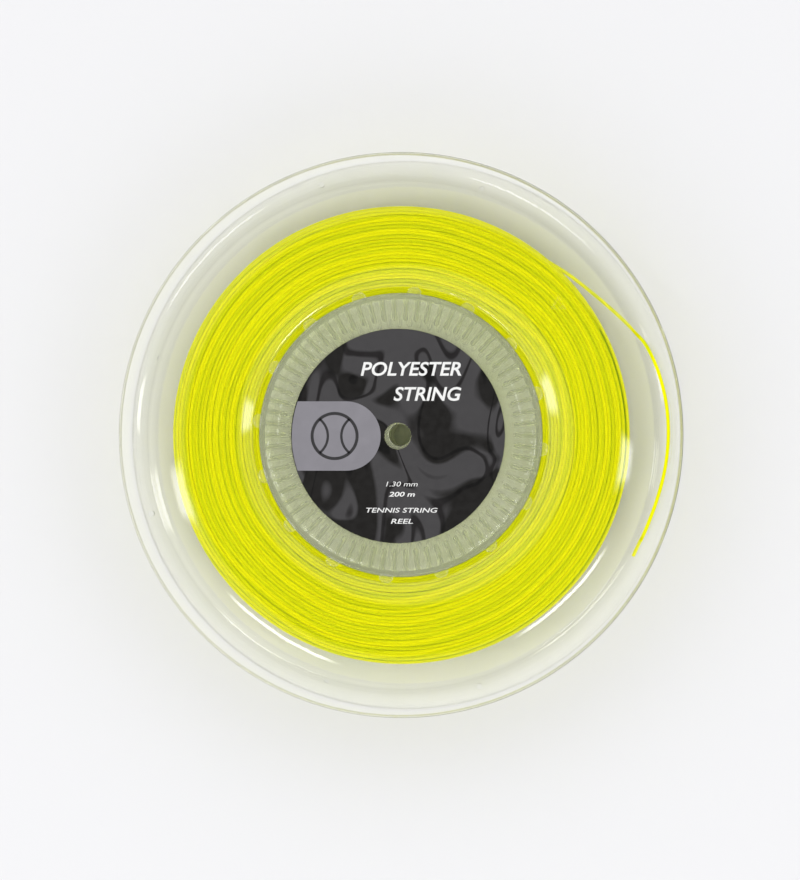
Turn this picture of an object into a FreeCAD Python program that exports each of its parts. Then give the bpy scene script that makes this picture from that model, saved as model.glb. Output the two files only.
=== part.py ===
import FreeCAD, Part
import math
import os

# A reel of tennis string. The axis is +Z and the reel lies on its back rim at z = 0.
# Every length is in millimetres, every angle in degrees. Inside the functions, height is measured
# from the middle plane of the reel, and each half is placed from there.

# ---------------------------------------------------------------- driving dimensions
STRING_GAUGE = 1.30

RIM_RADIUS = 102.5           # outside of the flange
RIM_HEIGHT = 15.6            # from the middle plane to the face that the reel rests on
RIM_FLAT_INNER = 101.4       # the flat resting ring runs from here ...
RIM_FLAT_OUTER = 102.0       # ... to here, then the rim is rounded

WALL = 1.5                   # flange wall
CROWN_RADIUS = 72.7          # the flange bulges most at this radius
CROWN_HEIGHT = 14.9
CROWN_ARC = 61.0             # radius of the bulge's outer face
CREASE_RADIUS = 92.5         # where the crown ends and the flared lip begins
LIP_START_SLOPE = 5.0

SEAT_OUTER = 53.9            # the flat ring of the flange that the hub's hooks hold
NECK_RADIUS = 51.1           # the flange's inner edge fits round the neck of the hub

BARREL_RADIUS = 51.6         # the string is wound on the barrel
DRUM_INNER = 49.3
FACE_HEIGHT = 13.6           # outer face of the hub's plate
PLATE = 1.5
BORE_RADIUS = 4.0            # the spindle hole
SLEEVE_RADIUS = 6.6
SPIGOT_WALL = 1.4            # the front half's spigot enters the back half
SPIGOT_DEPTH = 3.0
SPIGOT_ROOT = 2.0
SPIGOT_CLEARANCE = 0.1
FACE_BEVEL = 0.4
RING_INNER = 44.0            # the face is crowned over the ribs
RING_OUTER = 49.2
RING_RISE = 0.5

RIB_COUNT = 70
RIB_INNER = 41.6
RIB_THICKNESS = 1.5
RIB_DEPTH = 8.5

HOOK_COUNT = 16
HOOK_OUTER = 53.8
HOOK_WIDTH = 5.0
HOOK_HEIGHT = 1.2
HOOK_CORNER = 1.9
HOOK_FIRST_ANGLE = 16.8

LABEL_RADIUS = 38.9
LABEL_HOLE = 4.9
LABEL_THICKNESS = 0.2
LABEL_OFFSET = (-0.75, -0.35)

WINDING_RADIUS = 83.2
SIDE_CLEARANCE = 0.3         # between the wound string and the flanges
BARREL_CLEARANCE = 0.1

PARK_HOLE_RADIUS = 1.0       # small round holes in the lip for parking a string end
PARK_HOLE_CIRCLE = 95.5
PARK_HOLE_COUNT = 4
PARK_HOLE_FIRST_ANGLE = 17.5

EMBLEM_RADIUS = 74.4         # a plain raised triangle, the moulded recycling mark without its letters
EMBLEM_ANGLE = 39.4
EMBLEM_SIZE = 3.4
EMBLEM_LINE = 0.8
EMBLEM_RAISE = 0.25

# The free end of the string: (distance from the axis, angle, height above the middle plane).
# It leaves the winding, goes out through the first slot in the lip, lies along the lip and goes
# back in through the second slot.
TAIL_ROUTE = (
    (84.0, 49.5, 10.6),
    (84.2, 44.4, 10.45),
    (86.4, 37.0, 9.95),
    (89.9, 29.2, 9.1),
    (93.2, 23.1, 8.7),
    (94.9, 20.4, 13.55),
    (96.4, 14.5, 13.65),
    (97.3, 7.3, 13.75),
    (97.4, -0.2, 13.8),
    (96.9, -7.6, 13.7),
    (96.0, -14.6, 13.6),
    (95.4, -20.9, 13.6),
    (95.2, -23.8, 8.9),
    (95.3, -27.5, 8.5),
)
SLOT_RUNS = (4, 11)          # the runs of the route that pass through the lip
SLOT_WIDTH = 2.4
SLOT_LENGTH = 5.0

ARC_SHARE = 0.45             # share of the shorter run that each of a bend's two tangents takes


# ---------------------------------------------------------------- small tools
def at(radius, height):
    """A point of a profile, in the XZ plane."""
    return FreeCAD.Vector(radius, 0, height)


def polar(radius, angle, height=0.0):
    turn = math.radians(angle)
    return FreeCAD.Vector(radius * math.cos(turn), radius * math.sin(turn), height)


def line(start, end):
    return Part.LineSegment(start, end).toShape()


def arc(start, middle, end):
    return Part.Arc(start, middle, end).toShape()


def turned(edges):
    """The solid that a closed profile in the XZ plane makes when it turns round the axis."""
    face = Part.Face(Part.Wire(edges))
    return face.revolve(FreeCAD.Vector(0, 0, 0), FreeCAD.Vector(0, 0, 1), 360)


def extruded(edges, height):
    return Part.Face(Part.Wire(edges)).extrude(FreeCAD.Vector(0, 0, height))


def ring_of(shape, count, first_angle):
    """Copies of a shape, evenly spaced round the axis."""
    copies = []
    for k in range(count):
        copy = shape.copy()
        angle = first_angle + 360.0 * k / count
        copy.rotate(FreeCAD.Vector(0, 0, 0), FreeCAD.Vector(0, 0, 1), angle)
        copies.append(copy)
    return copies


# ---------------------------------------------------------------- the flange's section
CROWN_CENTRE = at(CROWN_RADIUS, CROWN_HEIGHT - CROWN_ARC)


def crown_height(radius, inside=False):
    reach = CROWN_ARC - WALL if inside else CROWN_ARC
    return CROWN_CENTRE.z + math.sqrt(reach ** 2 - (radius - CROWN_CENTRE.x) ** 2)


CREASE = at(CREASE_RADIUS, crown_height(CREASE_RADIUS))
LIP_END = at(RIM_FLAT_INNER, RIM_HEIGHT)


def lip_arc():
    """Centre and radius of the lip's outer face: it leaves the crease at LIP_START_SLOPE and ends at LIP_END."""
    chord = LIP_END - CREASE
    slope = math.radians(LIP_START_SLOPE)
    half_turn = math.atan2(chord.z, chord.x) - slope
    radius = chord.Length / (2 * math.sin(half_turn))
    centre = CREASE + at(-math.sin(slope), math.cos(slope)) * radius
    return centre, radius


LIP_CENTRE, LIP_ARC = lip_arc()


def lip_height(radius, inside=False):
    reach = LIP_ARC + WALL if inside else LIP_ARC
    return LIP_CENTRE.z - math.sqrt(reach ** 2 - (radius - LIP_CENTRE.x) ** 2)


def inner_crease():
    """Where the crown's and the lip's inner faces meet."""
    low, high = CREASE_RADIUS - WALL, CREASE_RADIUS + WALL
    for _ in range(60):
        middle = (low + high) / 2
        if crown_height(middle, inside=True) > lip_height(middle, inside=True):
            low = middle
        else:
            high = middle
    return at(middle, crown_height(middle, inside=True))


SEAT_TOP = crown_height(SEAT_OUTER)
SEAT_BOTTOM = crown_height(SEAT_OUTER, inside=True)


def flange_section():
    edge = RIM_RADIUS - RIM_FLAT_OUTER
    bevel = edge * (1 - math.sqrt(0.5))
    rim_bottom = lip_height(RIM_FLAT_OUTER, inside=True)
    crease_in = inner_crease()
    halfway_lip = (CREASE_RADIUS + RIM_FLAT_INNER) / 2
    return [
        line(at(NECK_RADIUS, SEAT_BOTTOM), at(NECK_RADIUS, SEAT_TOP)),
        line(at(NECK_RADIUS, SEAT_TOP), at(SEAT_OUTER, SEAT_TOP)),
        arc(at(SEAT_OUTER, SEAT_TOP), at(CROWN_RADIUS, CROWN_HEIGHT), CREASE),
        arc(CREASE, at(halfway_lip, lip_height(halfway_lip)), LIP_END),
        line(LIP_END, at(RIM_FLAT_OUTER, RIM_HEIGHT)),
        arc(
            at(RIM_FLAT_OUTER, RIM_HEIGHT),
            at(RIM_RADIUS - bevel, RIM_HEIGHT - bevel),
            at(RIM_RADIUS, RIM_HEIGHT - edge),
        ),
        line(at(RIM_RADIUS, RIM_HEIGHT - edge), at(RIM_RADIUS, rim_bottom + edge)),
        arc(
            at(RIM_RADIUS, rim_bottom + edge),
            at(RIM_RADIUS - bevel, rim_bottom + bevel),
            at(RIM_FLAT_OUTER, rim_bottom),
        ),
        arc(
            at(RIM_FLAT_OUTER, rim_bottom),
            at(halfway_lip, lip_height(halfway_lip, inside=True)),
            crease_in,
        ),
        arc(
            crease_in,
            at(CROWN_RADIUS, CROWN_HEIGHT - WALL),
            at(SEAT_OUTER, SEAT_BOTTOM),
        ),
        line(at(SEAT_OUTER, SEAT_BOTTOM), at(NECK_RADIUS, SEAT_BOTTOM)),
    ]


# ---------------------------------------------------------------- flange
def park_holes():
    hole = Part.makeCylinder(PARK_HOLE_RADIUS, RIM_HEIGHT, polar(PARK_HOLE_CIRCLE, 0))
    return ring_of(hole, PARK_HOLE_COUNT, PARK_HOLE_FIRST_ANGLE)


def string_slot(start, end):
    """A slot with round ends in the lip, in line with the run of string that passes through it."""
    middle = (start + end) / 2
    heading = math.degrees(math.atan2(end.y - start.y, end.x - start.x))
    r = SLOT_WIDTH / 2
    x = SLOT_LENGTH / 2 - r
    corners = [(x, -r), (x, r), (-x, r), (-x, -r)]
    a, b, c, d = [FreeCAD.Vector(u, v, 0) for u, v in corners]
    outline = [
        arc(a, FreeCAD.Vector(x + r, 0, 0), b),
        line(b, c),
        arc(c, FreeCAD.Vector(-x - r, 0, 0), d),
        line(d, a),
    ]
    slot = extruded(outline, RIM_HEIGHT)
    slot.rotate(FreeCAD.Vector(0, 0, 0), FreeCAD.Vector(0, 0, 1), heading)
    slot.translate(FreeCAD.Vector(middle.x, middle.y, 0))
    return slot


def triangle(size):
    corners = [polar(size, 90 + 120 * k) for k in range(3)]
    return [line(a, b) for a, b in zip(corners, corners[1:] + corners[:1])]


def emblem():
    """A raised outline of a triangle on the crown."""
    foot = WALL / 2
    height = foot + EMBLEM_RAISE
    outline = extruded(triangle(EMBLEM_SIZE), height)
    outline = outline.cut(extruded(triangle(EMBLEM_SIZE - 2 * EMBLEM_LINE), height))
    outline.translate(polar(EMBLEM_RADIUS, EMBLEM_ANGLE, CROWN_HEIGHT - foot))
    return outline


def flange():
    return turned(flange_section()).cut(Part.makeCompound(park_holes()))


def front_flange():
    route = tail_points()
    slots = [string_slot(route[k], route[k + 1]) for k in SLOT_RUNS]
    return flange().cut(Part.makeCompound(slots)).fuse(emblem())


# ---------------------------------------------------------------- hub
def rib():
    """One radial rib with a rounded inner end, hanging from the face plate."""
    half = RIB_THICKNESS / 2
    start = RIB_INNER + half
    end = DRUM_INNER + half
    corners = [(start, -half), (end, -half), (end, half), (start, half)]
    a, b, c, d = [FreeCAD.Vector(u, v, 0) for u, v in corners]
    outline = [line(a, b), line(b, c), line(c, d), arc(d, FreeCAD.Vector(RIB_INNER, 0, 0), a)]
    shape = extruded(outline, RIB_DEPTH + PLATE / 2)
    shape.translate(FreeCAD.Vector(0, 0, FACE_HEIGHT - PLATE - RIB_DEPTH))
    return shape


def hook():
    """One snap hook: a tab with rounded corners that lies on the flange's inner edge."""
    half = HOOK_WIDTH / 2
    root = (DRUM_INNER + NECK_RADIUS) / 2
    shoulder = HOOK_OUTER - HOOK_CORNER
    bulge = HOOK_CORNER * math.sqrt(0.5)
    low = FreeCAD.Vector(shoulder + bulge, -half + HOOK_CORNER - bulge, 0)
    high = FreeCAD.Vector(shoulder + bulge, half - HOOK_CORNER + bulge, 0)
    corners = [
        (root, -half),
        (shoulder, -half),
        (HOOK_OUTER, -half + HOOK_CORNER),
        (HOOK_OUTER, half - HOOK_CORNER),
        (shoulder, half),
        (root, half),
    ]
    a, b, c, d, e, f = [FreeCAD.Vector(u, v, 0) for u, v in corners]
    outline = [line(a, b), arc(b, low, c), line(c, d), arc(d, high, e), line(e, f), line(f, a)]
    shape = extruded(outline, HOOK_HEIGHT)
    shape.translate(FreeCAD.Vector(0, 0, SEAT_TOP))
    return shape


def hub(spigot):
    """Half of the hub, from the middle plane to its face. The front half has a spigot, which enters the back half."""
    plate_bottom = FACE_HEIGHT - PLATE
    section = [
        (BORE_RADIUS, 0),
        (SLEEVE_RADIUS, 0),
        (SLEEVE_RADIUS, plate_bottom),
        (DRUM_INNER, plate_bottom),
    ]
    if spigot:
        section += [
            (DRUM_INNER, SPIGOT_ROOT),
            (DRUM_INNER - SPIGOT_WALL, SPIGOT_ROOT),
            (DRUM_INNER - SPIGOT_WALL, -SPIGOT_DEPTH),
            (DRUM_INNER - SPIGOT_CLEARANCE, -SPIGOT_DEPTH),
            (DRUM_INNER - SPIGOT_CLEARANCE, 0),
        ]
    else:
        section += [(DRUM_INNER, 0)]
    section += [
        (BARREL_RADIUS, 0),
        (BARREL_RADIUS, SEAT_BOTTOM),
        (NECK_RADIUS, SEAT_BOTTOM),
        (NECK_RADIUS, FACE_HEIGHT - FACE_BEVEL),
        (NECK_RADIUS - FACE_BEVEL, FACE_HEIGHT),
        (RING_OUTER, FACE_HEIGHT),
    ]
    corners = [at(*p) for p in section]
    edges = [line(a, b) for a, b in zip(corners, corners[1:])]
    crown = at((RING_INNER + RING_OUTER) / 2, FACE_HEIGHT + RING_RISE)
    ring_foot, face_edge = at(RING_INNER, FACE_HEIGHT), at(BORE_RADIUS, FACE_HEIGHT)
    edges += [arc(corners[-1], crown, ring_foot), line(ring_foot, face_edge), line(face_edge, corners[0])]
    body = turned(edges)
    details = ring_of(rib(), RIB_COUNT, 0) + ring_of(hook(), HOOK_COUNT, HOOK_FIRST_ANGLE)
    return body.fuse(details).removeSplitter()


# ---------------------------------------------------------------- labels
def label():
    disc = Part.makeCylinder(LABEL_RADIUS, LABEL_THICKNESS, at(0, FACE_HEIGHT))
    disc = disc.cut(Part.makeCylinder(LABEL_HOLE, LABEL_THICKNESS, at(0, FACE_HEIGHT)))
    disc.translate(FreeCAD.Vector(*LABEL_OFFSET, 0))
    return disc


# ---------------------------------------------------------------- string
def winding():
    """The space that the wound string fills, between the barrel and the flanges."""
    inner = BARREL_RADIUS + BARREL_CLEARANCE
    reach = CROWN_ARC - WALL - SIDE_CLEARANCE

    def side(radius):
        return CROWN_CENTRE.z + math.sqrt(reach ** 2 - (radius - CROWN_CENTRE.x) ** 2)

    middle = at(CROWN_RADIUS, side(CROWN_RADIUS))
    near = at(inner, side(inner))
    far = at(WINDING_RADIUS, side(WINDING_RADIUS))
    low_near, low_middle, low_far = [at(p.x, -p.z) for p in (near, middle, far)]
    return turned([
        line(low_near, near),
        arc(near, middle, far),
        line(far, low_far),
        arc(low_far, low_middle, low_near),
    ])


def tail_points():
    return [polar(*p) for p in TAIL_ROUTE]


def bend(before, corner, after):
    """Start, middle and end of the arc that rounds a corner of the route, and its radius."""
    back, ahead = before - corner, after - corner
    reach = ARC_SHARE * min(back.Length, ahead.Length)
    back.normalize()
    ahead.normalize()
    half_turn = (math.pi - back.getAngle(ahead)) / 2
    radius = reach / math.tan(half_turn)
    to_centre = (back + ahead).normalize()
    depth = radius / math.cos(half_turn) - radius
    return corner + back * reach, corner + to_centre * depth, corner + ahead * reach, radius


def tail():
    """Straight runs joined by tangent arcs, swept with the string's round section."""
    points = tail_points()
    edges = []
    start = points[0]
    radii = []
    for before, corner, after in zip(points, points[1:], points[2:]):
        begin, middle, end, radius = bend(before, corner, after)
        edges += [line(start, begin), arc(begin, middle, end)]
        radii.append(radius)
        start = end
    edges.append(line(start, points[-1]))
    spine = Part.Wire(edges)
    heading = points[1] - points[0]
    section = Part.Wire(Part.makeCircle(STRING_GAUGE / 2, points[0], heading))
    tube = spine.makePipeShell([section], True, False)
    print("string tail: bend radii", [round(r, 1) for r in radii])
    print("string tail: runs", [round((b - a).Length, 1) for a, b in zip(points, points[1:])])
    expected = math.pi * (STRING_GAUGE / 2) ** 2 * spine.Length
    print(f"string tail: length {spine.Length:.1f}, volume {tube.Volume:.2f}, expected {expected:.2f}")
    return tube


# ---------------------------------------------------------------- assembly
def front(shape):
    """Lifts the front half to its place: the reel lies on its back rim."""
    shape.translate(FreeCAD.Vector(0, 0, RIM_HEIGHT))
    return shape


def back(shape):
    """Turns a half over, to face the other way, and lifts it to its place."""
    shape.rotate(FreeCAD.Vector(0, 0, 0), FreeCAD.Vector(1, 0, 0), 180)
    return front(shape)


def main():
    nodes = {
        "front_flange": front(front_flange()),
        "back_flange": back(flange()),
        "front_hub": front(hub(spigot=True)),
        "back_hub": back(hub(spigot=False)),
        "front_label": front(label()),
        "back_label": back(label()),
        "string_winding": front(winding()),
        "string_tail": front(tail()),
    }
    os.makedirs("parts", exist_ok=True)
    for name, shape in nodes.items():
        solids = shape.Solids
        print(f"{name}: {len(solids)} solid, valid {shape.isValid()}, {shape.Volume / 1000:.2f} cm3")
        shape.exportStep(f"parts/{name}.step")


main()
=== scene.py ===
"""The looks of the string reel.

It has clear moulded flanges and a hub, wound yellow string with its free end parked, and two
printed labels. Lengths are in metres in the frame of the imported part. Shapes are described for the
front half with their height measured from the reel's middle plane, and placed() turns them over
for the back.
"""

import math
import random

import bmesh
import bpy
import numpy as np
from mathutils import Matrix, Vector


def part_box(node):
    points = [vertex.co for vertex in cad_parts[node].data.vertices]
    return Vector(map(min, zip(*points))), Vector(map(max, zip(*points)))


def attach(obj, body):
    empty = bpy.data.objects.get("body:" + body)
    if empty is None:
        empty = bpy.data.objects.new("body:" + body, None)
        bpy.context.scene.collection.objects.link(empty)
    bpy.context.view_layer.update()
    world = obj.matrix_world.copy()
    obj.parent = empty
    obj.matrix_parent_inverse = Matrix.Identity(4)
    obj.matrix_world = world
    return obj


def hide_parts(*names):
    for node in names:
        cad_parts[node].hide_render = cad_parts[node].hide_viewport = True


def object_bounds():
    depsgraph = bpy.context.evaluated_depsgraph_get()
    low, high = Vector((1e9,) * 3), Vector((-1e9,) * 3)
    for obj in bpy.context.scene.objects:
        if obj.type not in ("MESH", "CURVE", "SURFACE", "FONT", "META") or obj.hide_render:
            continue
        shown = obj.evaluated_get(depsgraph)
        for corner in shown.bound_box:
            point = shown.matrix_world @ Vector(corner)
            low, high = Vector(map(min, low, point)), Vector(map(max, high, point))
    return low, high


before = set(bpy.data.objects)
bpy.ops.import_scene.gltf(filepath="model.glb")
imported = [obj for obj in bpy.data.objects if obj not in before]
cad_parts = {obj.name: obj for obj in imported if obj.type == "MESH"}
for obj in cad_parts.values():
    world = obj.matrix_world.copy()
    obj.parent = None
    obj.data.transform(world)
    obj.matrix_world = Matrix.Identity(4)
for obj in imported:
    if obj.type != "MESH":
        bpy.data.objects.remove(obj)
cad_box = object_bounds()

BODY = "root"
MM = 0.001
FRONT, BACK = 1, -1

# ---------------------------------------------------------------- sizes taken from the frame
flange_low, flange_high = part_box("front_flange")
winding_low, winding_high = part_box("string_winding")
label_low, label_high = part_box("front_label")
HALF_WIDTH = cad_box[1].z / 2
RIM_RADIUS = (flange_high.x - flange_low.x) / 2
WINDING_RADIUS = (winding_high.x - winding_low.x) / 2
LABEL_RADIUS = (label_high.x - label_low.x) / 2
LABEL_X = (label_high.x + label_low.x) / 2
LABEL_Y = (label_high.y + label_low.y) / 2
LABEL_TOP = label_high.z - HALF_WIDTH
FACE_HEIGHT = label_low.z - HALF_WIDTH

# ---------------------------------------------------------------- sizes of the mouldings
STRING_GAUGE = 1.30 * MM
WALL = 1.5 * MM
CROWN_RADIUS = 72.7 * MM
CROWN_HEIGHT = 14.9 * MM
CROWN_ARC = 61.0 * MM
CREASE_RADIUS = 92.5 * MM
LIP_START_SLOPE = math.radians(5.0)
RIM_FLAT_INNER = 101.4 * MM
RIM_FLAT_OUTER = 102.0 * MM
SEAT_OUTER = 53.9 * MM
NECK_RADIUS = 51.1 * MM
BARREL_RADIUS = 51.6 * MM
DRUM_INNER = 49.3 * MM
PLATE = 1.5 * MM
BORE_RADIUS = 4.0 * MM
SLEEVE_RADIUS = 6.6 * MM
SPIGOT_WALL = 1.4 * MM
SPIGOT_DEPTH = 3.0 * MM
SPIGOT_ROOT = 2.0 * MM
SPIGOT_CLEARANCE = 0.1 * MM
FACE_BEVEL = 0.4 * MM
RING_INNER = 44.0 * MM        # the face is crowned over the ribs
RING_OUTER = 49.2 * MM
RING_RISE = 0.5 * MM
RIB_COUNT = 70
RIB_INNER = 41.6 * MM
RIB_DEPTH = 8.5 * MM
HOOK_COUNT = 16
HOOK_OUTER = 53.8 * MM
HOOK_WIDTH = 5.0 * MM
HOOK_HEIGHT = 1.2 * MM
HOOK_CORNER = 1.9 * MM
HOOK_FIRST_ANGLE = 16.8
LABEL_HOLE = 4.9 * MM
PARK_HOLE_RADIUS = 1.0 * MM
PARK_HOLE_CIRCLE = 95.5 * MM
PARK_HOLE_ANGLES = (17.5, 107.5, 197.5, 287.5)
SLOT_WIDTH = 2.4 * MM
SLOT_LENGTH = 5.0 * MM
SLOT_RUNS = (4, 11)
EMBLEM_RADIUS = 74.4 * MM
EMBLEM_ANGLE = 39.4
EMBLEM_SIZE = 3.4 * MM
EMBLEM_LINE = 0.8 * MM
EMBLEM_RAISE = 0.25 * MM
EMBLEM_DRAFT = 0.3 * MM      # its sides lean by this much each way
SEAT_FILLET = 0.9 * MM       # each way from the seat's edge
HOLE_CUT_BELOW = 12 * MM     # how far the cutters of the holes reach past the crown and the rim
HOLE_CUT_ABOVE = 1 * MM

FIT = 0.05 * MM              # air between two clear parts that touch
SEAM = 0.15 * MM             # and round the hub's neck, where it shows as a thin line

# The free end of the string, as (distance from the axis, angle in degrees, height above the middle
# plane). It starts inside the outer layer of the winding and passes twice through the front lip.
TAIL_ROUTE = (
    (0.0826, 49.5, 0.01060),
    (0.0842, 44.4, 0.01045),
    (0.0864, 37.0, 0.00995),
    (0.0899, 29.2, 0.00910),
    (0.0932, 23.1, 0.00870),
    (0.0949, 20.4, 0.01355),
    (0.0964, 14.5, 0.01365),
    (0.0973, 7.3, 0.01375),
    (0.0974, -0.2, 0.01380),
    (0.0969, -7.6, 0.01370),
    (0.0960, -14.6, 0.01360),
    (0.0954, -20.9, 0.01360),
    (0.0952, -23.8, 0.00890),
    (0.0953, -27.5, 0.00850),
)


def flat_polar(radius, angle):
    turn = math.radians(angle)
    return radius * math.cos(turn), radius * math.sin(turn)


def polar(radius, angle, height):
    """A point at a radius, an angle in degrees and a height above the middle plane."""
    return Vector((*flat_polar(radius, angle), HALF_WIDTH + height))


def placed(points, side):
    """Points of the front half, or the same points turned over for the back half."""
    points = np.asarray(points, float)
    return points * (1, side, side) + (0, 0, HALF_WIDTH)


# ---------------------------------------------------------------- mesh helpers
SHARP_ANGLE = 30.0           # edges steeper than this stay crisp, in degrees


def linked(obj):
    bpy.context.scene.collection.objects.link(obj)
    return obj


def finish_surface(mesh, sharp_angle):
    mesh.polygons.foreach_set("use_smooth", [True] * len(mesh.polygons))
    mesh.set_sharp_from_angle(angle=math.radians(sharp_angle))
    mesh.update()


def mesh_object(name, points, faces, material, sharp_angle=SHARP_ANGLE):
    mesh = bpy.data.meshes.new(name)
    mesh.from_pydata([tuple(p) for p in points], [], [tuple(f) for f in faces])
    outward = bmesh.new()
    outward.from_mesh(mesh)
    bmesh.ops.recalc_face_normals(outward, faces=outward.faces)
    outward.to_mesh(mesh)
    outward.free()
    mesh.materials.append(material)
    finish_surface(mesh, sharp_angle)
    return linked(bpy.data.objects.new(name, mesh))


def joined(parts):
    """The points and faces of several (points, faces) pairs as one pair."""
    points, faces = [], []
    for part_points, part_faces in parts:
        shift = len(points)
        points.extend(map(tuple, part_points))
        faces.extend([tuple(v + shift for v in face) for face in part_faces])
    return points, faces


def evaluated_mesh(obj):
    return bpy.data.meshes.new_from_object(obj.evaluated_get(bpy.context.evaluated_depsgraph_get()))


def combine(obj, tool_parts, operation):
    """Cuts the closed shapes in tool_parts out of obj, or adds them to it."""
    tool = mesh_object("tool", *tool_parts, obj.data.materials[0])
    modifier = obj.modifiers.new("join", "BOOLEAN")
    modifier.operation = operation
    modifier.solver = "EXACT"
    modifier.object = tool
    mesh = evaluated_mesh(obj)
    obj.modifiers.clear()
    obj.data = mesh
    bpy.data.objects.remove(tool)
    finish_surface(mesh, SHARP_ANGLE)


def on_reel(obj):
    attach(obj, BODY)
    return obj


def grid_faces(rows, columns, close_rows, close_columns):
    """Quads of a grid of points stored row by row."""
    faces = []
    for i in range(rows if close_rows else rows - 1):
        for j in range(columns if close_columns else columns - 1):
            a, b = i * columns, ((i + 1) % rows) * columns
            k = (j + 1) % columns
            faces.append((a + j, a + k, b + k, b + j))
    return faces


def lofted(rings):
    """A closed shape through rings of equally many points, with a flat cap at each end."""
    columns = len(rings[0])
    points = [p for ring in rings for p in ring]
    faces = grid_faces(len(rings), columns, False, True)
    faces.append(tuple(range(columns)))
    faces.append(tuple(range(len(points) - columns, len(points))))
    return points, faces


def prism(outline, low, high):
    return lofted([[(x, y, level) for x, y in outline] for level in (low, high)])


def spun(outline, segments):
    """A closed outline of (radius, height) points turned round the axis."""
    points = []
    for k in range(segments):
        turn = 2 * math.pi * k / segments
        points += [(radius * math.cos(turn), radius * math.sin(turn), height)
                   for radius, height in outline]
    return np.array(points), grid_faces(segments, len(outline), True, True)


def tube(centres, radius, sides):
    """A round tube with flat ends along an array of points that turns round the axis."""
    ahead = np.gradient(centres, axis=0)
    ahead /= np.linalg.norm(ahead, axis=1)[:, None]
    across = np.cross(ahead, (0, 0, 1))
    across /= np.linalg.norm(across, axis=1)[:, None]
    upward = np.cross(across, ahead)
    turns = np.arange(sides) * 2 * math.pi / sides
    cosines, sines = np.cos(turns)[None, :, None], np.sin(turns)[None, :, None]
    ring = cosines * across[:, None] + sines * upward[:, None]
    points = (centres[:, None] + radius * ring).reshape(-1, 3)
    faces = grid_faces(len(centres), sides, False, True)
    faces.append(tuple(range(sides)))
    faces.append(tuple(range(len(points) - sides, len(points))))
    return points, faces


def turned_points(points, angle):
    turn = math.radians(angle)
    cosine, sine = math.cos(turn), math.sin(turn)
    return [(x * cosine - y * sine, x * sine + y * cosine, *rest) for x, y, *rest in points]


def round_arc(centre, radius, first, last, count):
    offsets = (flat_polar(radius, angle) for angle in np.linspace(first, last, count))
    return [(centre[0] + x, centre[1] + y) for x, y in offsets]


# ---------------------------------------------------------------- material helpers
PLASTIC_IOR = 1.46
TURN_DRIFT = 0.012           # metres by which the noise of the turns slides along a turn
TURN_SCALE = 520.0


def new_material(name):
    material = bpy.data.materials.new(name)
    material.use_nodes = True
    tree = material.node_tree
    return material, tree, tree.nodes["Principled BSDF"]


def add_node(tree, kind, **values):
    """A node with options set by attribute and inputs by socket name, with _ for a space."""
    node = tree.nodes.new(kind)
    for key, value in values.items():
        socket = key.replace("_", " ")
        if socket in node.inputs:
            node.inputs[socket].default_value = value
        else:
            setattr(node, key, value)
    return node


def noise(tree, scale, detail=2.0, distortion=0.0, stretch=(1, 1, 1)):
    """Noise in the reel's own coordinates; scale counts features in a metre."""
    place = add_node(tree, "ShaderNodeTexCoord")
    mapping = add_node(tree, "ShaderNodeMapping", Scale=stretch)
    texture = add_node(
        tree, "ShaderNodeTexNoise", Scale=scale, Detail=detail, Distortion=distortion
    )
    tree.links.new(place.outputs["Object"], mapping.inputs["Vector"])
    tree.links.new(mapping.outputs["Vector"], texture.inputs["Vector"])
    return texture.outputs["Fac"]


def turn_noise(tree):
    """Noise that changes from one turn of the winding to the next, and slowly along each."""
    place = add_node(tree, "ShaderNodeTexCoord")
    flat = add_node(tree, "ShaderNodeMapping", Scale=(1, 1, 0))
    distance = add_node(tree, "ShaderNodeVectorMath", operation="LENGTH")
    shift = add_node(tree, "ShaderNodeMath", operation="MULTIPLY_ADD")
    shift.inputs[1].default_value = TURN_DRIFT
    texture = add_node(
        tree, "ShaderNodeTexNoise", noise_dimensions="1D", Scale=TURN_SCALE, Detail=1.0
    )
    tree.links.new(place.outputs["Object"], flat.inputs["Vector"])
    tree.links.new(flat.outputs["Vector"], distance.inputs[0])
    tree.links.new(noise(tree, scale=14, detail=1.0), shift.inputs[0])
    tree.links.new(distance.outputs["Value"], shift.inputs[2])
    tree.links.new(shift.outputs["Value"], texture.inputs["W"])
    return texture.outputs["Fac"]


def blended(tree, factor, low_colour, high_colour, start=0.35, end=0.65):
    """Two colours mixed by a factor that is stretched from start..end."""
    ramp = add_node(tree, "ShaderNodeValToRGB")
    ramp.color_ramp.elements[0].position = start
    ramp.color_ramp.elements[1].position = end
    ramp.color_ramp.elements[0].color = (*low_colour, 1)
    ramp.color_ramp.elements[1].color = (*high_colour, 1)
    tree.links.new(factor, ramp.inputs["Fac"])
    return ramp.outputs["Color"]


def ranged(tree, factor, low, high):
    node = add_node(
        tree, "ShaderNodeMapRange", From_Min=0.35, From_Max=0.65, To_Min=low, To_Max=high
    )
    tree.links.new(factor, node.inputs["Value"])
    return node.outputs["Result"]


def bumped(tree, shader, height, distance):
    bump = add_node(tree, "ShaderNodeBump", Strength=1.0, Distance=distance)
    tree.links.new(height, bump.inputs["Height"])
    tree.links.new(bump.outputs["Normal"], shader.inputs["Normal"])


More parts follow.
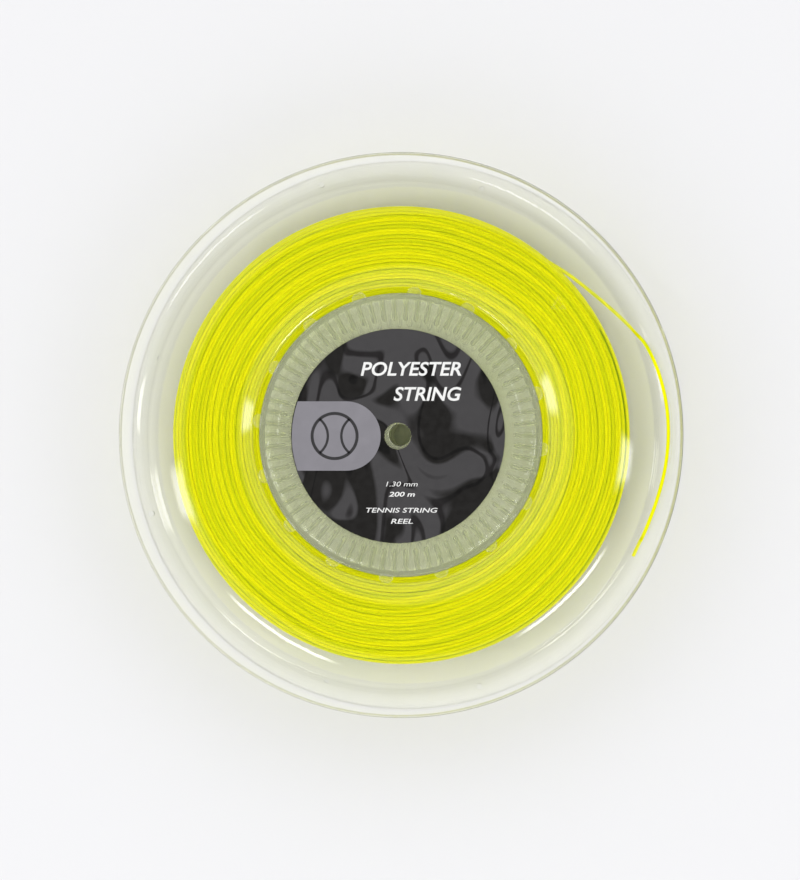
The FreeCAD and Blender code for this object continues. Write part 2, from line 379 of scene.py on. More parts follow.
def clear_plastic(name, tints, passed, roughness, transmission, ripple):
    """Moulded clear plastic.

    tints are its two shades, and passed is what each face lets through of a lamp's light. On the
    flanges and the hub the tints are partly painted yellow light from the string.
    """
    material, tree, shader = new_material(name)
    shade = noise(tree, scale=45, detail=1.0)
    tree.links.new(blended(tree, shade, *tints), shader.inputs["Base Color"])
    tree.links.new(ranged(tree, noise(tree, scale=120), *roughness), shader.inputs["Roughness"])
    shader.inputs["IOR"].default_value = PLASTIC_IOR
    shader.inputs["Transmission Weight"].default_value = transmission
    bumped(tree, shader, noise(tree, scale=70, detail=1.0), ripple)
    path = add_node(tree, "ShaderNodeLightPath")
    clear = add_node(tree, "ShaderNodeBsdfTransparent", Color=(*passed, 1))
    mix = add_node(tree, "ShaderNodeMixShader")
    tree.links.new(path.outputs["Is Shadow Ray"], mix.inputs["Fac"])
    tree.links.new(shader.outputs["BSDF"], mix.inputs[1])
    tree.links.new(clear.outputs["BSDF"], mix.inputs[2])
    tree.links.new(mix.outputs["Shader"], tree.nodes["Material Output"].inputs["Surface"])
    return material


def string_material(name, shades):
    """Extruded polyester string: a yellow that varies from turn to turn, with a satin skin."""
    material, tree, shader = new_material(name)
    tree.links.new(blended(tree, turn_noise(tree), *shades), shader.inputs["Base Color"])
    satin = ranged(tree, noise(tree, scale=300), low=0.30, high=0.45)
    tree.links.new(satin, shader.inputs["Roughness"])
    shader.inputs["Specular IOR Level"].default_value = 0.22
    shader.inputs["Specular Tint"].default_value = (1.0, 1.0, 0.25, 1)
    return material


def print_material(name, colour):
    """One flat printing ink, slightly uneven."""
    material, tree, shader = new_material(name)
    faded = [0.93 * c for c in colour]
    cover = noise(tree, scale=160, detail=3.0)
    tree.links.new(blended(tree, cover, faded, colour), shader.inputs["Base Color"])
    satin = ranged(tree, noise(tree, scale=400), low=0.40, high=0.50)
    tree.links.new(satin, shader.inputs["Roughness"])
    shader.inputs["Specular IOR Level"].default_value = 0.3
    return material


CONTOUR_COUNT = 9.0
CONTOUR_SHADE = (0.22, 0.2, 0.2)
LABEL_BLACK = (0.0092, 0.0083, 0.0076)
LABEL_GREY = (0.054, 0.052, 0.054)


def label_material():
    """Charcoal print: smooth lobes in grey and black with dark contours, under a satin varnish."""
    material, tree, shader = new_material("label_charcoal")
    lobes = noise(tree, scale=34, detail=0.3, distortion=1.5, stretch=(1.2, 0.85, 1))
    contours = noise(tree, scale=34, detail=0.2, distortion=1.0, stretch=(1.3, 0.75, 1))
    steps = add_node(tree, "ShaderNodeMath", operation="MULTIPLY")
    steps.inputs[1].default_value = CONTOUR_COUNT
    fold = add_node(tree, "ShaderNodeMath", operation="PINGPONG")
    fold.inputs[1].default_value = 1.0
    tree.links.new(contours, steps.inputs[0])
    tree.links.new(steps.outputs["Value"], fold.inputs[0])
    lines = blended(tree, fold.outputs["Value"], CONTOUR_SHADE, (1, 1, 1), start=0.10, end=0.24)
    areas = blended(tree, lobes, LABEL_BLACK, LABEL_GREY, start=0.405, end=0.455)
    shade = add_node(tree, "ShaderNodeMix", data_type="RGBA", blend_type="MULTIPLY")
    shade.inputs["Factor"].default_value = 1.0
    tree.links.new(areas, shade.inputs[6])
    tree.links.new(lines, shade.inputs[7])
    tree.links.new(shade.outputs[2], shader.inputs["Base Color"])
    satin = ranged(tree, noise(tree, scale=400), low=0.38, high=0.50)
    tree.links.new(satin, shader.inputs["Roughness"])
    shader.inputs["Specular IOR Level"].default_value = 0.25
    return material


# The flanges' faint yellow tint is painted yellow light. It stands in for the string's light piped
# through the clear plastic.
FLANGE_CLEAR = clear_plastic(
    "flange_clear",
    tints=((0.992, 0.996, 0.955), (0.998, 0.999, 0.968)),
    passed=(0.999, 0.999, 0.990),
    roughness=(0.0, 0.015),
    transmission=1.0,
    ripple=0.04 * MM,
)
# The hub's olive tint is partly the plastic's own colour and partly painted yellow light. It stands
# in for the string's light bleeding through the drum wall into the hub.
HUB_CLEAR = clear_plastic(
    "hub_clear",
    tints=((0.93, 0.955, 0.72), (0.97, 0.985, 0.80)),
    passed=(0.95, 0.965, 0.87),
    roughness=(0.02, 0.06),
    transmission=0.82,
    ripple=0.03 * MM,
)
HOOK_CLEAR = clear_plastic(
    "hook_clear",
    tints=((0.93, 0.94, 0.88), (0.96, 0.965, 0.92)),
    passed=(0.98, 0.98, 0.96),
    roughness=(0.0, 0.03),
    transmission=0.97,
    ripple=0.02 * MM,
)
YELLOW = string_material("string_yellow", ((0.735, 0.775, 0.0), (0.94, 0.915, 0.0)))
# A darker, greener copy of the string's yellow. It is painted shade for the deeper turns and the
# core, which lie in the gaps between and under the visible turns.
YELLOW_PAINTED_SHADE = string_material("string_yellow_painted_shade", ((0.42, 0.60, 0.0), (0.52, 0.68, 0.0)))
LABEL_DARK = label_material()
INK_WHITE = print_material("ink_white", (0.84, 0.84, 0.83))
INK_GREY = print_material("ink_grey", (0.240, 0.232, 0.256))
INK_DARK = print_material("ink_dark", (0.035, 0.034, 0.036))


# ---------------------------------------------------------------- flanges
FLANGE_SEGMENTS = 360
CROWN_POINTS, LIP_POINTS = 40, 22


def crown_height(radius, inside=False):
    reach = CROWN_ARC - WALL if inside else CROWN_ARC
    return CROWN_HEIGHT - CROWN_ARC + math.sqrt(reach ** 2 - (radius - CROWN_RADIUS) ** 2)


def lip_arc():
    """Centre and radius of the lip's outer face, an arc from the crease to the rim."""
    start = Vector((CREASE_RADIUS, crown_height(CREASE_RADIUS)))
    chord = Vector((RIM_FLAT_INNER, HALF_WIDTH)) - start
    half_turn = math.atan2(chord.y, chord.x) - LIP_START_SLOPE
    radius = chord.length / (2 * math.sin(half_turn))
    return start + Vector((-math.sin(LIP_START_SLOPE), math.cos(LIP_START_SLOPE))) * radius, radius


LIP_CENTRE, LIP_ARC = lip_arc()


def lip_height(radius, inside=False):
    reach = LIP_ARC + WALL if inside else LIP_ARC
    return LIP_CENTRE.y - math.sqrt(reach ** 2 - (radius - LIP_CENTRE.x) ** 2)


def inner_crease():
    """The radius where the crown's and the lip's inner faces meet."""
    low, high = CREASE_RADIUS - WALL, CREASE_RADIUS + WALL
    for _ in range(40):
        middle = (low + high) / 2
        if crown_height(middle, inside=True) > lip_height(middle, inside=True):
            low = middle
        else:
            high = middle
    return middle


SEAT_TOP = crown_height(SEAT_OUTER)
SEAT_BOTTOM = crown_height(SEAT_OUTER, inside=True)


def face_points(height, first, last, count, inside=False):
    """Points along a face whose height is a function of the radius, without the first one."""
    return [(radius, height(radius, inside)) for radius in np.linspace(first, last, count)[1:]]


def flange_outline():
    """The flange's section: out along the outer face from hub to rim, then back along the inner."""
    edge = RIM_RADIUS - RIM_FLAT_OUTER
    bottom = lip_height(RIM_FLAT_OUTER, inside=True)
    crease = inner_crease()
    outline = [(NECK_RADIUS + SEAM, SEAT_BOTTOM + FIT), (NECK_RADIUS + SEAM, SEAT_TOP - FIT)]
    fillet_start, fillet_end = SEAT_OUTER - SEAT_FILLET, SEAT_OUTER + SEAT_FILLET
    rise = crown_height(fillet_end) - (SEAT_TOP - FIT)
    for t in np.linspace(0, 1, 9):
        radius = fillet_start + (fillet_end - fillet_start) * t
        outline.append((radius, SEAT_TOP - FIT + rise * t ** 2))
    outline += face_points(crown_height, fillet_end, CREASE_RADIUS, CROWN_POINTS)
    outline += face_points(lip_height, CREASE_RADIUS, RIM_FLAT_INNER, LIP_POINTS)
    outline += round_arc((RIM_FLAT_OUTER, HALF_WIDTH - edge), edge, 90, 0, 6)
    outline += round_arc((RIM_FLAT_OUTER, bottom + edge), edge, 0, -90, 6)
    outline += face_points(lip_height, RIM_FLAT_OUTER, crease, LIP_POINTS, inside=True)
    outline += face_points(crown_height, crease, SEAT_OUTER, CROWN_POINTS, inside=True)
    outline.append((SEAT_OUTER, SEAT_BOTTOM + FIT))
    return outline


def slot_outline(start, end):
    """A slot with round ends, in line with the run of string that passes through it."""
    half = SLOT_WIDTH / 2
    reach = SLOT_LENGTH / 2 - half
    outline = round_arc((reach, 0), half, -90, 90, 10) + round_arc((-reach, 0), half, 90, 270, 10)
    (ax, ay), (bx, by) = flat_polar(*start[:2]), flat_polar(*end[:2])
    heading = math.degrees(math.atan2(by - ay, bx - ax))
    return [(x + (ax + bx) / 2, y + (ay + by) / 2) for x, y in turned_points(outline, heading)]


def emblem():
    """A plain raised triangle outline on the crown."""
    foot, top = CROWN_HEIGHT - WALL / 2, CROWN_HEIGHT + EMBLEM_RAISE
    cx, cy = flat_polar(EMBLEM_RADIUS, EMBLEM_ANGLE)
    outer, inner = EMBLEM_SIZE, EMBLEM_SIZE - 2 * EMBLEM_LINE
    corners = (
        (outer + EMBLEM_DRAFT, foot),
        (outer - EMBLEM_DRAFT, top),
        (inner + EMBLEM_DRAFT, top),
        (inner - EMBLEM_DRAFT, foot),
    )
    points = []
    for size, level in corners:
        triangle = (flat_polar(size, 90 + 120 * k) for k in range(3))
        points += [(cx + x, cy + y, level) for x, y in triangle]
    return points, grid_faces(len(corners), 3, True, True)


def park_hole(angle):
    return round_arc(flat_polar(PARK_HOLE_CIRCLE, angle), PARK_HOLE_RADIUS, 0, 345, 24)


def flange(name, node, side):
    points, faces = spun(flange_outline(), FLANGE_SEGMENTS)
    obj = mesh_object(name, placed(points, side), faces, FLANGE_CLEAR)
    holes = [park_hole(angle) for angle in PARK_HOLE_ANGLES]
    if side == FRONT:
        holes += [slot_outline(TAIL_ROUTE[k], TAIL_ROUTE[k + 1]) for k in SLOT_RUNS]
    low, high = CROWN_HEIGHT - HOLE_CUT_BELOW, HALF_WIDTH + HOLE_CUT_ABOVE
    points, faces = joined(prism(outline, low, high) for outline in holes)
    combine(obj, (placed(points, side), faces), "DIFFERENCE")
    if side == FRONT:
        points, faces = emblem()
        combine(obj, (placed(points, side), faces), "UNION")
    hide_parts(node)
    return on_reel(obj)


flange("clear_front_flange", "front_flange", FRONT)
flange("clear_back_flange", "back_flange", BACK)


# ---------------------------------------------------------------- hub
RIB_ROOT_HALF = 1.0 * MM     # the ribs taper from the plate to their tips
RIB_TIP_HALF = 0.5 * MM
RIB_OVERLAP = 0.5 * MM       # how far they run into the drum wall
SINK_DEPTH = 0.13 * MM
BORE_BEVEL = 0.3 * MM
SEGMENTS_PER_RIB = 8


def rib():
    """One radial rib under the face plate, with a rounded inner end and drafted sides."""
    root = FACE_HEIGHT - PLATE
    centre = RIB_INNER + RIB_ROOT_HALF
    levels = [
        (root + PLATE / 2, RIB_ROOT_HALF),
        (root, RIB_ROOT_HALF),
        (root - RIB_DEPTH + 0.4 * MM, RIB_TIP_HALF),
        (root - RIB_DEPTH + 0.1 * MM, RIB_TIP_HALF - 0.12 * MM),
        (root - RIB_DEPTH, RIB_TIP_HALF - 0.3 * MM),
    ]
    rings = []
    end = DRUM_INNER + RIB_OVERLAP
    for level, half in levels:
        outline = round_arc((centre, 0), half, 90, 270, 9) + [(end, -half), (end, half)]
        rings.append([(x, y, level) for x, y in outline])
    return lofted(rings)


def hook():
    """One snap hook on the flange's inner edge: a tab with round corners and a soft upper edge."""
    low = SEAT_TOP + FIT
    top = low + HOOK_HEIGHT
    levels = (
        (low, 0.0),
        (top - 0.3 * MM, 0.0),
        (top - 0.08 * MM, 0.1 * MM),
        (top, 0.3 * MM),
    )
    rings = []
    for level, inset in levels:
        half = HOOK_WIDTH / 2 - inset
        corner = HOOK_CORNER - inset
        outer = HOOK_OUTER - inset
        outline = [(NECK_RADIUS + FIT, half), (NECK_RADIUS + FIT, -half)]
        outline += round_arc((outer - corner, -half + corner), corner, -90, 0, 7)
        outline += round_arc((outer - corner, half - corner), corner, 0, 90, 7)
        rings.append([(x, y, level) for x, y in outline])
    return lofted(rings)


def hub_outline(spigot):
    """Half of the hub: bore sleeve, face plate, drum wall and the neck that holds the flange."""
    plate_bottom = FACE_HEIGHT - PLATE
    outline = [
        (BORE_RADIUS, FIT / 2),
        (SLEEVE_RADIUS, FIT / 2),
        (SLEEVE_RADIUS, plate_bottom),
        (DRUM_INNER, plate_bottom),
    ]
    if spigot:
        outline += [
            (DRUM_INNER, SPIGOT_ROOT),
            (DRUM_INNER - SPIGOT_WALL, SPIGOT_ROOT),
            (DRUM_INNER - SPIGOT_WALL, -SPIGOT_DEPTH),
            (DRUM_INNER - SPIGOT_CLEARANCE, -SPIGOT_DEPTH),
            (DRUM_INNER - SPIGOT_CLEARANCE, FIT / 2),
        ]
    else:
        outline.append((DRUM_INNER, FIT / 2))
    neck = NECK_RADIUS - FIT
    seat = SEAT_BOTTOM - FIT
    outline += [(BARREL_RADIUS, FIT / 2), (BARREL_RADIUS, seat), (neck, seat)]
    outline += round_arc((neck - FACE_BEVEL, FACE_HEIGHT - FACE_BEVEL - FIT), FACE_BEVEL, 0, 90, 5)
    middle, half = (RING_INNER + RING_OUTER) / 2, (RING_OUTER - RING_INNER) / 2
    arc = (half ** 2 + RING_RISE ** 2) / (2 * RING_RISE)
    reach = math.degrees(math.asin(half / arc))
    centre = (middle, FACE_HEIGHT - FIT + RING_RISE - arc)
    outline += round_arc(centre, arc, 90 - reach, 90 + reach, 13)
    face = FACE_HEIGHT - FIT
    outline += [(BORE_RADIUS + BORE_BEVEL, face), (BORE_RADIUS, face - BORE_BEVEL)]
    return outline


def with_sink_marks(points):
    """The crowned ring is drawn in a little over each rib, as thick places are on a moulding."""
    radius = np.hypot(points[:, 0], points[:, 1])
    angle = np.arctan2(points[:, 1], points[:, 0])
    share = np.clip((radius - RING_INNER) / (RING_OUTER - RING_INNER), 0, 1)
    depth = SINK_DEPTH * np.sin(math.pi * share) * (0.5 + 0.5 * np.cos(RIB_COUNT * angle))
    points[:, 2] -= np.where(points[:, 2] > FACE_HEIGHT - PLATE / 2, depth, 0.0)
    return points


def ring_of(shape, count, first_angle):
    points, faces = shape
    return [(turned_points(points, first_angle + 360 * k / count), faces) for k in range(count)]


def hub(name, node, side):
    points, faces = spun(hub_outline(side == FRONT), SEGMENTS_PER_RIB * RIB_COUNT)
    obj = mesh_object(name, placed(with_sink_marks(points), side), faces, HUB_CLEAR)
    points, faces = joined(ring_of(rib(), RIB_COUNT, 0))
    combine(obj, (placed(points, side), faces), "UNION")
    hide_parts(node)
    on_reel(obj)
    points, faces = joined(ring_of(hook(), HOOK_COUNT, HOOK_FIRST_ANGLE))
    on_reel(mesh_object(name + "_hooks", placed(points, side), faces, HOOK_CLEAR))


hub("clear_front_hub", "front_hub", FRONT)
hub("clear_back_hub", "back_hub", BACK)


# ---------------------------------------------------------------- labels
INK_GAP = 0.002 * MM         # between the layers of the print
INK_LEVEL = LABEL_TOP + INK_GAP
INK_THICKNESS = 0.02 * MM
SHEET_EDGE = 0.05 * MM


def on_label(parts, side):
    """Points given round the label's own centre, moved to their place on the reel."""
    points, faces = joined(parts)
    points = [(x + LABEL_X, y + LABEL_Y, z) for x, y, z in points]
    return placed(points, side), faces


def ink(outline):
    return prism(outline, INK_LEVEL, INK_LEVEL + INK_THICKNESS)


def disc():
    outline = [
        (LABEL_HOLE, FACE_HEIGHT),
        (LABEL_HOLE, LABEL_TOP - SHEET_EDGE),
        (LABEL_HOLE + SHEET_EDGE, LABEL_TOP),
        (LABEL_RADIUS - SHEET_EDGE, LABEL_TOP),
        (LABEL_RADIUS, LABEL_TOP - SHEET_EDGE),
        (LABEL_RADIUS, FACE_HEIGHT),
    ]
    return spun(outline, 192)


BAND_HALF = 12.6 * MM
BAND_END = -18.8 * MM
BAND_MARGIN = 0.3 * MM       # the label's edge stays free of it
BALL_X = -23.0 * MM
BALL_RADIUS = 8.2 * MM
BALL_LINE = 1.1 * MM
SEAM_LINE = 0.8 * BALL_LINE


def band():
    """A plain light band from the label's edge towards the bore, with a round end."""
    reach = LABEL_RADIUS - BAND_MARGIN
    edge = math.degrees(math.asin(BAND_HALF / reach))
    outline = round_arc((0, 0), reach, 180 + edge, 180 - edge, 24)
    outline += round_arc((BAND_END, 0), BAND_HALF, 90, -90, 32)
    return [ink(outline)]


def strip(centre, radius, first, last, width):
    """A stripe of even width along an arc."""
    outer = round_arc(centre, radius + width / 2, first, last, 20)
    return outer + round_arc(centre, radius - width / 2, last, first, 20)


def ball():
    """A generic ball: a ring with two curved seams."""
    centre = (BALL_X, 0)
    parts = [strip(centre, BALL_RADIUS, a, a + 90, BALL_LINE) for a in (0, 90, 180, 270)]
    shift, seam = 1.25 * BALL_RADIUS, 0.95 * BALL_RADIUS
    meeting = (shift ** 2 + seam ** 2 - BALL_RADIUS ** 2) / (2 * shift * seam)
    reach = math.degrees(math.acos(meeting))
    parts.append(strip((BALL_X + shift, 0), seam, 180 - reach, 180 + reach, SEAM_LINE))
    parts.append(strip((BALL_X - shift, 0), seam, -reach, reach, SEAM_LINE))
    level = INK_LEVEL + INK_THICKNESS
    return [prism(outline, level + INK_GAP, level + INK_THICKNESS) for outline in parts]


LETTER_SLANT = 0.22


def lettering(body, cap_height, width, place, align, weight):
    """Slanted letters of a given size, with the baseline's right end or its middle at place."""
    curve = bpy.data.curves.new("lettering", "FONT")
    curve.body = body
    curve.shear = LETTER_SLANT
    curve.offset = weight
    curve.resolution_u = 4
    curve.extrude = 0.5
    holder = linked(bpy.data.objects.new("lettering", curve))
    mesh = evaluated_mesh(holder)
    points = np.array([v.co for v in mesh.vertices])
    faces = [tuple(p.vertices) for p in mesh.polygons]
    bpy.data.objects.remove(holder)
    bpy.data.meshes.remove(mesh)
    low, high = points.min(axis=0), points.max(axis=0)
    start = place[0] - width if align == "right" else place[0] - width / 2
    points = (points - low) * (np.array((width, cap_height, INK_THICKNESS)) / (high - low))
    return points + (start, place[1], INK_LEVEL), faces


# (text, height and width in mm, the baseline's end or middle in mm, alignment, extra weight)
TEXT_LINES = (
    ("POLYESTER", 5.1, 36.6, (23.1, 21.8), "right", 0.018),
    ("STRING", 5.1, 24.6, (23.1, 12.7), "right", 0.018),
    ("1.30 mm", 1.75, 11.5, (1.5, -18.3), "centre", 0.0),
    ("200 m", 1.75, 9.5, (1.5, -22.0), "centre", 0.02),
    ("TENNIS STRING", 1.75, 26.0, (1.5, -27.8), "centre", 0.01),
    ("REEL", 1.75, 8.0, (1.5, -31.8), "centre", 0.01),
)


def label(prefix, node, side):
    sheet = mesh_object(prefix + "_sheet", *on_label([disc()], side), LABEL_DARK)
    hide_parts(node)
    on_reel(sheet)
    on_reel(mesh_object(prefix + "_band", *on_label(band(), side), INK_GREY))
    on_reel(mesh_object(prefix + "_ball", *on_label(ball(), side), INK_DARK))
    letters = []
    for body, height, width, (x, y), align, weight in TEXT_LINES:
        place = (x * MM, y * MM)
        letters.append(lettering(body, height * MM, width * MM, place, align, weight))
    text = mesh_object(prefix + "_lettering", *on_label(letters, side), INK_WHITE)
    on_reel(text)


label("front_label", "front_label", FRONT)
label("back_label", "back_label", BACK)


# ---------------------------------------------------------------- the wound string
LAYER_COUNT = 26
FIRST_LAYER = BARREL_RADIUS + STRING_GAUGE / 2 + FIT
LAST_LAYER = WINDING_RADIUS - STRING_GAUGE / 2
LAYER_PITCH = (LAST_LAYER - FIRST_LAYER) / (LAYER_COUNT - 1)
SIDE_GAP = 0.12 * MM         # between the string and the flange
SPREAD = 0.06 * MM           # how far a turn wanders from its place
UNEVEN = 0.16 * MM           # and how deep it may lie under the flange
EDGE_DROP = 0.25 * MM        # the outermost turn lies this much lower
EDGE_TURNS = 1.3             # which starts this many turns before the spiral's end
EDGE_EASE = 0.6              # and takes this many turns
SPIRAL_START = -1.0          # turns from the first layer, till where it is pressed to the barrel
SPIRAL_SHORT = 0.45          # it stops short of the last layer by this share of a layer
END_DROP = 1.3 * MM          # its two ends dip this far, out of sight, over END_TURNS
END_TURNS = 0.05
DEEP = 1.25 * MM             # the second spiral lies this far below the first
CORE_DEPTH = 2.7 * MM        # and the solid core below the flange
OUTER_TURNS = 17
OUTER_OVERLAP = 2            # degrees by which each outer turn laps its own start
OUTER_SINK = 0.04 * MM
OUTER_SWAY = 0.02 * MM
CALM_SHARE = 0.15            # share of an outer turn, at its end, over which it runs true
ROUND_TUBE = 70.0            # edges flatter than this are shaded round


def drift(rng, size, count):
    """A slow random wave over one turn."""
    turn = np.linspace(0, 2 * math.pi, count)
    wave = np.zeros(count)
    for order in (1, 2, 3):
        wave += rng.uniform(0.3, 1) / order * np.sin(order * turn + rng.uniform(0, 2 * math.pi))
    return size * wave


def slow_wave(rng, along):
    """A random wave of about unit size along a spiral, given the turns counted so far."""
    wave = np.zeros(len(along))
    for cycles in (0.19, 0.43, 0.87, 1.31):
        size = rng.uniform(0.4, 0.8)
        wave += size * np.sin(2 * math.pi * cycles * along + rng.uniform(0, 2 * math.pi))
    return wave


def ease(x):
    x = np.clip(x, 0, 1)
    return x * x * (3 - 2 * x)


def side_height(radius):
    """How high the string's centre line can lie under the flange at that radius."""
    reach = CROWN_ARC - WALL - STRING_GAUGE / 2 - SIDE_GAP
    return CROWN_HEIGHT - CROWN_ARC + np.sqrt(reach ** 2 - (radius - CROWN_RADIUS) ** 2)


def turn_centres(radius, angle, height, side):
    return placed(np.stack([radius * np.cos(angle), radius * np.sin(angle), height], axis=1), side)


def winding_side(name, side, seed, depth, steps, sides, material):
    """The turns next to the flange as one spiral, from the barrel out to the last full layer.

    depth is how far below the topmost place it lies, steps is the points in a turn, and sides is
    the points round the string.
    """
    rng = random.Random(seed)
    first, last = SPIRAL_START, LAYER_COUNT - 1 - SPIRAL_SHORT
    along = np.linspace(first, last, int((last - first) * steps))
    wander, lift = slow_wave(rng, along), slow_wave(rng, along)
    radius = FIRST_LAYER + LAYER_PITCH * along + SPREAD * wander
    radius = np.clip(radius, FIRST_LAYER, LAST_LAYER - SPIRAL_SHORT * LAYER_PITCH)
    ends = END_DROP * (2 - ease((along - first) / END_TURNS) - ease((last - along) / END_TURNS))
    edge = EDGE_DROP * ease((along - last + EDGE_TURNS) / EDGE_EASE)
    inset = depth + UNEVEN * np.abs(lift) + edge + ends
    angle = math.radians(rng.uniform(0, 360)) - 2 * math.pi * along
    centres = turn_centres(radius, angle, side_height(radius) - inset, side)
    points, faces = tube(centres, STRING_GAUGE / 2, sides)
    return on_reel(mesh_object(name, points, faces, material, ROUND_TUBE))


def winding_outside(name, seed):
    """The last full layer, seen between the rims. Its top turn ends where the free end starts."""
    rng = random.Random(seed)
    count = 180
    _, last_angle, top = TAIL_ROUTE[0]
    pitch = 2 * top / (OUTER_TURNS - 1)
    along = np.linspace(0, 1, count)
    calm = ease((1 - along) / CALM_SHARE)
    angle = np.radians(last_angle - OUTER_OVERLAP + (360 + OUTER_OVERLAP) * (1 - along))
    parts = []
    for k in range(OUTER_TURNS):
        radius = LAST_LAYER - np.abs(drift(rng, OUTER_SINK, count)) * calm
        height = top - pitch * k + drift(rng, OUTER_SWAY, count) * calm
        centres = turn_centres(radius, angle, height, FRONT)
        parts.append(tube(centres, STRING_GAUGE / 2, 8))
    return on_reel(mesh_object(name, *joined(parts), YELLOW, ROUND_TUBE))


def winding_core(name):
    """The turns below the visible ones, closed over as one body, coloured with the painted-shade
    yellow.
    """
    radii = np.linspace(FIRST_LAYER, LAST_LAYER - 0.6 * STRING_GAUGE, 24)
    top = [(r, float(side_height(r)) - CORE_DEPTH) for r in radii]
    outline = top + [(r, -h) for r, h in reversed(top)]
    points, faces = spun(outline, 180)
    obj = mesh_object(name, placed(points, FRONT), faces, YELLOW_PAINTED_SHADE)
    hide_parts("string_winding")
    return on_reel(obj)


winding_core("winding_core")
for prefix, side, seed in (("winding_front", FRONT, 7), ("winding_back", BACK, 11)):
    winding_side(prefix + "_turns", side, seed, depth=0.0, steps=200, sides=10, material=YELLOW)
    # The deeper spiral gets the painted-shade yellow.
    winding_side(
        prefix + "_deep_turns", side, seed + 1, depth=DEEP, steps=120, sides=6, material=YELLOW_PAINTED_SHADE
    )
winding_outside("winding_outer_turns", seed=5)


# ---------------------------------------------------------------- the free end
def string_end():
    curve = bpy.data.curves.new("string_free_end", "CURVE")
    curve.dimensions = "3D"
    curve.bevel_depth = STRING_GAUGE / 2
    curve.bevel_resolution = 4
    curve.resolution_u = 10
    curve.use_fill_caps = True
    spline = curve.splines.new("NURBS")
    spline.points.add(len(TAIL_ROUTE) - 1)
    for point, place in zip(spline.points, TAIL_ROUTE):
        point.co = (*polar(*place), 1)
    spline.order_u = 3
    spline.use_endpoint_u = True
    curve.materials.append(YELLOW)
    obj = linked(bpy.data.objects.new("string_free_end", curve))
    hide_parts("string_tail")
    on_reel(obj)


string_end()


# ---------------------------------------------------------------- floor, light and camera
FLOOR_REACH = 30.0
FLOOR_COLOUR = (0.82, 0.82, 0.838, 1)


def floor():
    square = ((-1, -1), (1, -1), (1, 1), (-1, 1))
    corners = [(FLOOR_REACH * x, FLOOR_REACH * y, 0) for x, y in square]
    material, _, shader = new_material("floor_pale")
    shader.inputs["Base Color"].default_value = FLOOR_COLOUR
    shader.inputs["Roughness"].default_value = 1.0
    shader.inputs["Specular IOR Level"].default_value = 0.0
    obj = mesh_object("floor", corners, [(0, 1, 2, 3)], material)


SKY_BRIGHT = 1.52
# (height on the sky, share of SKY_BRIGHT)
SKY_STEPS = ((0.0, 1.0), (0.60, 1.0), (0.78, 0.66), (0.90, 0.38), (0.935, 0.28), (0.957, 0.04))


def sky():
    """Soft light from all round that fades towards the dark ceiling."""
    world = bpy.data.worlds.new("studio")
    world.use_nodes = True
    tree = world.node_tree
    background = tree.nodes["Background"]
    place = add_node(tree, "ShaderNodeTexCoord")
    split = add_node(tree, "ShaderNodeSeparateXYZ")
    ramp = add_node(tree, "ShaderNodeValToRGB")
    ramp.color_ramp.interpolation = "EASE"
    elements = ramp.color_ramp.elements
    elements[0].position, elements[1].position = SKY_STEPS[0][0], SKY_STEPS[-1][0]
    for position, _ in SKY_STEPS[1:-1]:
        elements.new(position)
    for element, (_, share) in zip(elements, SKY_STEPS):
        element.color = (share, share, share, 1)
    tree.links.new(place.outputs["Generated"], split.inputs["Vector"])
    tree.links.new(split.outputs["Z"], ramp.inputs["Fac"])
    tree.links.new(ramp.outputs["Color"], background.inputs["Color"])
    background.inputs["Strength"].default_value = SKY_BRIGHT
    bpy.context.scene.world = world


def soft_edge(tree, value, edge):
    """A share from 0 at either end of 0..1 to 1 in its middle, rising over edge."""
    shares = []
    for start, end in ((0.0, edge), (1.0, 1.0 - edge)):
        node = add_node(tree, "ShaderNodeMapRange", interpolation_type="SMOOTHSTEP")
        node.inputs["From Min"].default_value = start
        node.inputs["From Max"].default_value = end
        tree.links.new(value, node.inputs["Value"])
        shares.append(node.outputs["Result"])
    product = add_node(tree, "ShaderNodeMath", operation="MULTIPLY")
    tree.links.new(shares[0], product.inputs[0])
    tree.links.new(shares[1], product.inputs[1])
    return product.outputs["Value"]


LAMP_DISTANCE = 1.0


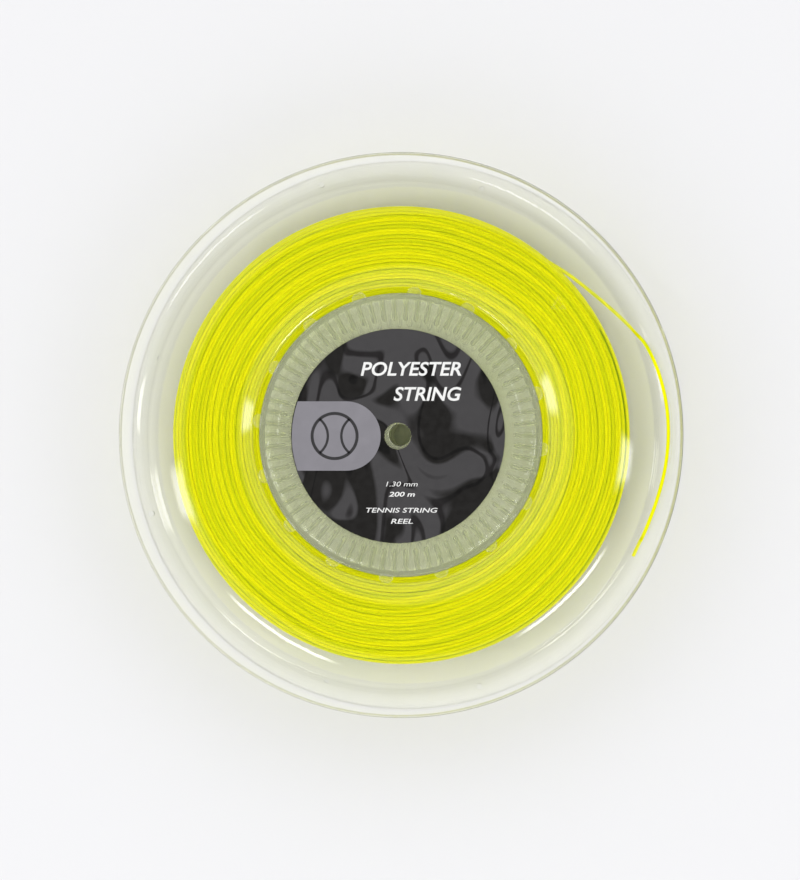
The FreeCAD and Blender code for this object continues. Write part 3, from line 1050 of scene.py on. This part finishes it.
def softbox(name, azimuth, polar_angle, across, along, radiance, edge=0.3):
    """An area light aimed at the reel.

    Its place is given by its azimuth and its angle from the axis, and across and along are the
    angles that it covers round the axis and up to it, all in degrees. edge is the share of its
    width that fades out at each side.
    """
    turn, tip = math.radians(azimuth), math.radians(polar_angle)
    flat = math.sin(tip)
    direction = Vector((flat * math.cos(turn), flat * math.sin(turn), math.cos(tip)))
    data = bpy.data.lights.new(name, "AREA")
    data.shape = "RECTANGLE"
    data.size = 2 * LAMP_DISTANCE * math.tan(math.radians(across) / 2)
    data.size_y = 2 * LAMP_DISTANCE * math.tan(math.radians(along) / 2)
    data.energy = radiance * math.pi * data.size * data.size_y
    data.use_nodes = True
    tree = data.node_tree
    place = add_node(tree, "ShaderNodeTexCoord")
    split = add_node(tree, "ShaderNodeSeparateXYZ")
    product = add_node(tree, "ShaderNodeMath", operation="MULTIPLY")
    tree.links.new(place.outputs["UV"], split.inputs["Vector"])
    tree.links.new(soft_edge(tree, split.outputs["X"], edge), product.inputs[0])
    tree.links.new(soft_edge(tree, split.outputs["Y"], edge), product.inputs[1])
    tree.links.new(product.outputs["Value"], tree.nodes["Emission"].inputs["Strength"])
    obj = linked(bpy.data.objects.new(name, data))
    side = Vector((-math.sin(turn), math.cos(turn), 0))
    up = direction.cross(side)
    facing = Matrix((side, up, direction)).transposed().to_4x4()
    obj.matrix_world = Matrix.Translation(direction * LAMP_DISTANCE) @ facing


CAMERA_TILT = math.radians(4.0)     # from straight above, towards +X
CAMERA_DISTANCE = 1.23
CAMERA_AIM = Vector((0.0002, -0.0018, 2 * HALF_WIDTH))
SENSOR_WIDTH = 36.0                 # mm
FOCAL_LENGTH = 138.9                # mm


def camera():
    data = bpy.data.cameras.new("camera")
    obj = linked(bpy.data.objects.new("camera", data))
    backward = Vector((math.sin(CAMERA_TILT), 0, math.cos(CAMERA_TILT)))
    obj.location = CAMERA_AIM + backward * CAMERA_DISTANCE
    obj.rotation_euler = (0, CAMERA_TILT, 0)
    data.sensor_width = SENSOR_WIDTH
    data.lens = FOCAL_LENGTH
    data.clip_end = 100
    bpy.context.scene.camera = obj


floor()
sky()
softbox(
    "strip_left", azimuth=233, polar_angle=33.0, across=18.5, along=2.0, radiance=12.0, edge=0.25
)
softbox(
    "strip_right", azimuth=310.5, polar_angle=27.2, across=18.0, along=2.0, radiance=12.5, edge=0.25
)
softbox("box_left", azimuth=193, polar_angle=30.0, across=8.0, along=12.0, radiance=5.0)
softbox("box_right", azimuth=352, polar_angle=22.0, across=6.6, along=11.5, radiance=5.0)
camera()

# The light crosses many clear faces on its way through the reel.
scene = bpy.context.scene
scene.view_settings.view_transform = "Standard"
scene.cycles.max_bounces = 24
scene.cycles.transmission_bounces = 22
scene.cycles.transparent_max_bounces = 48
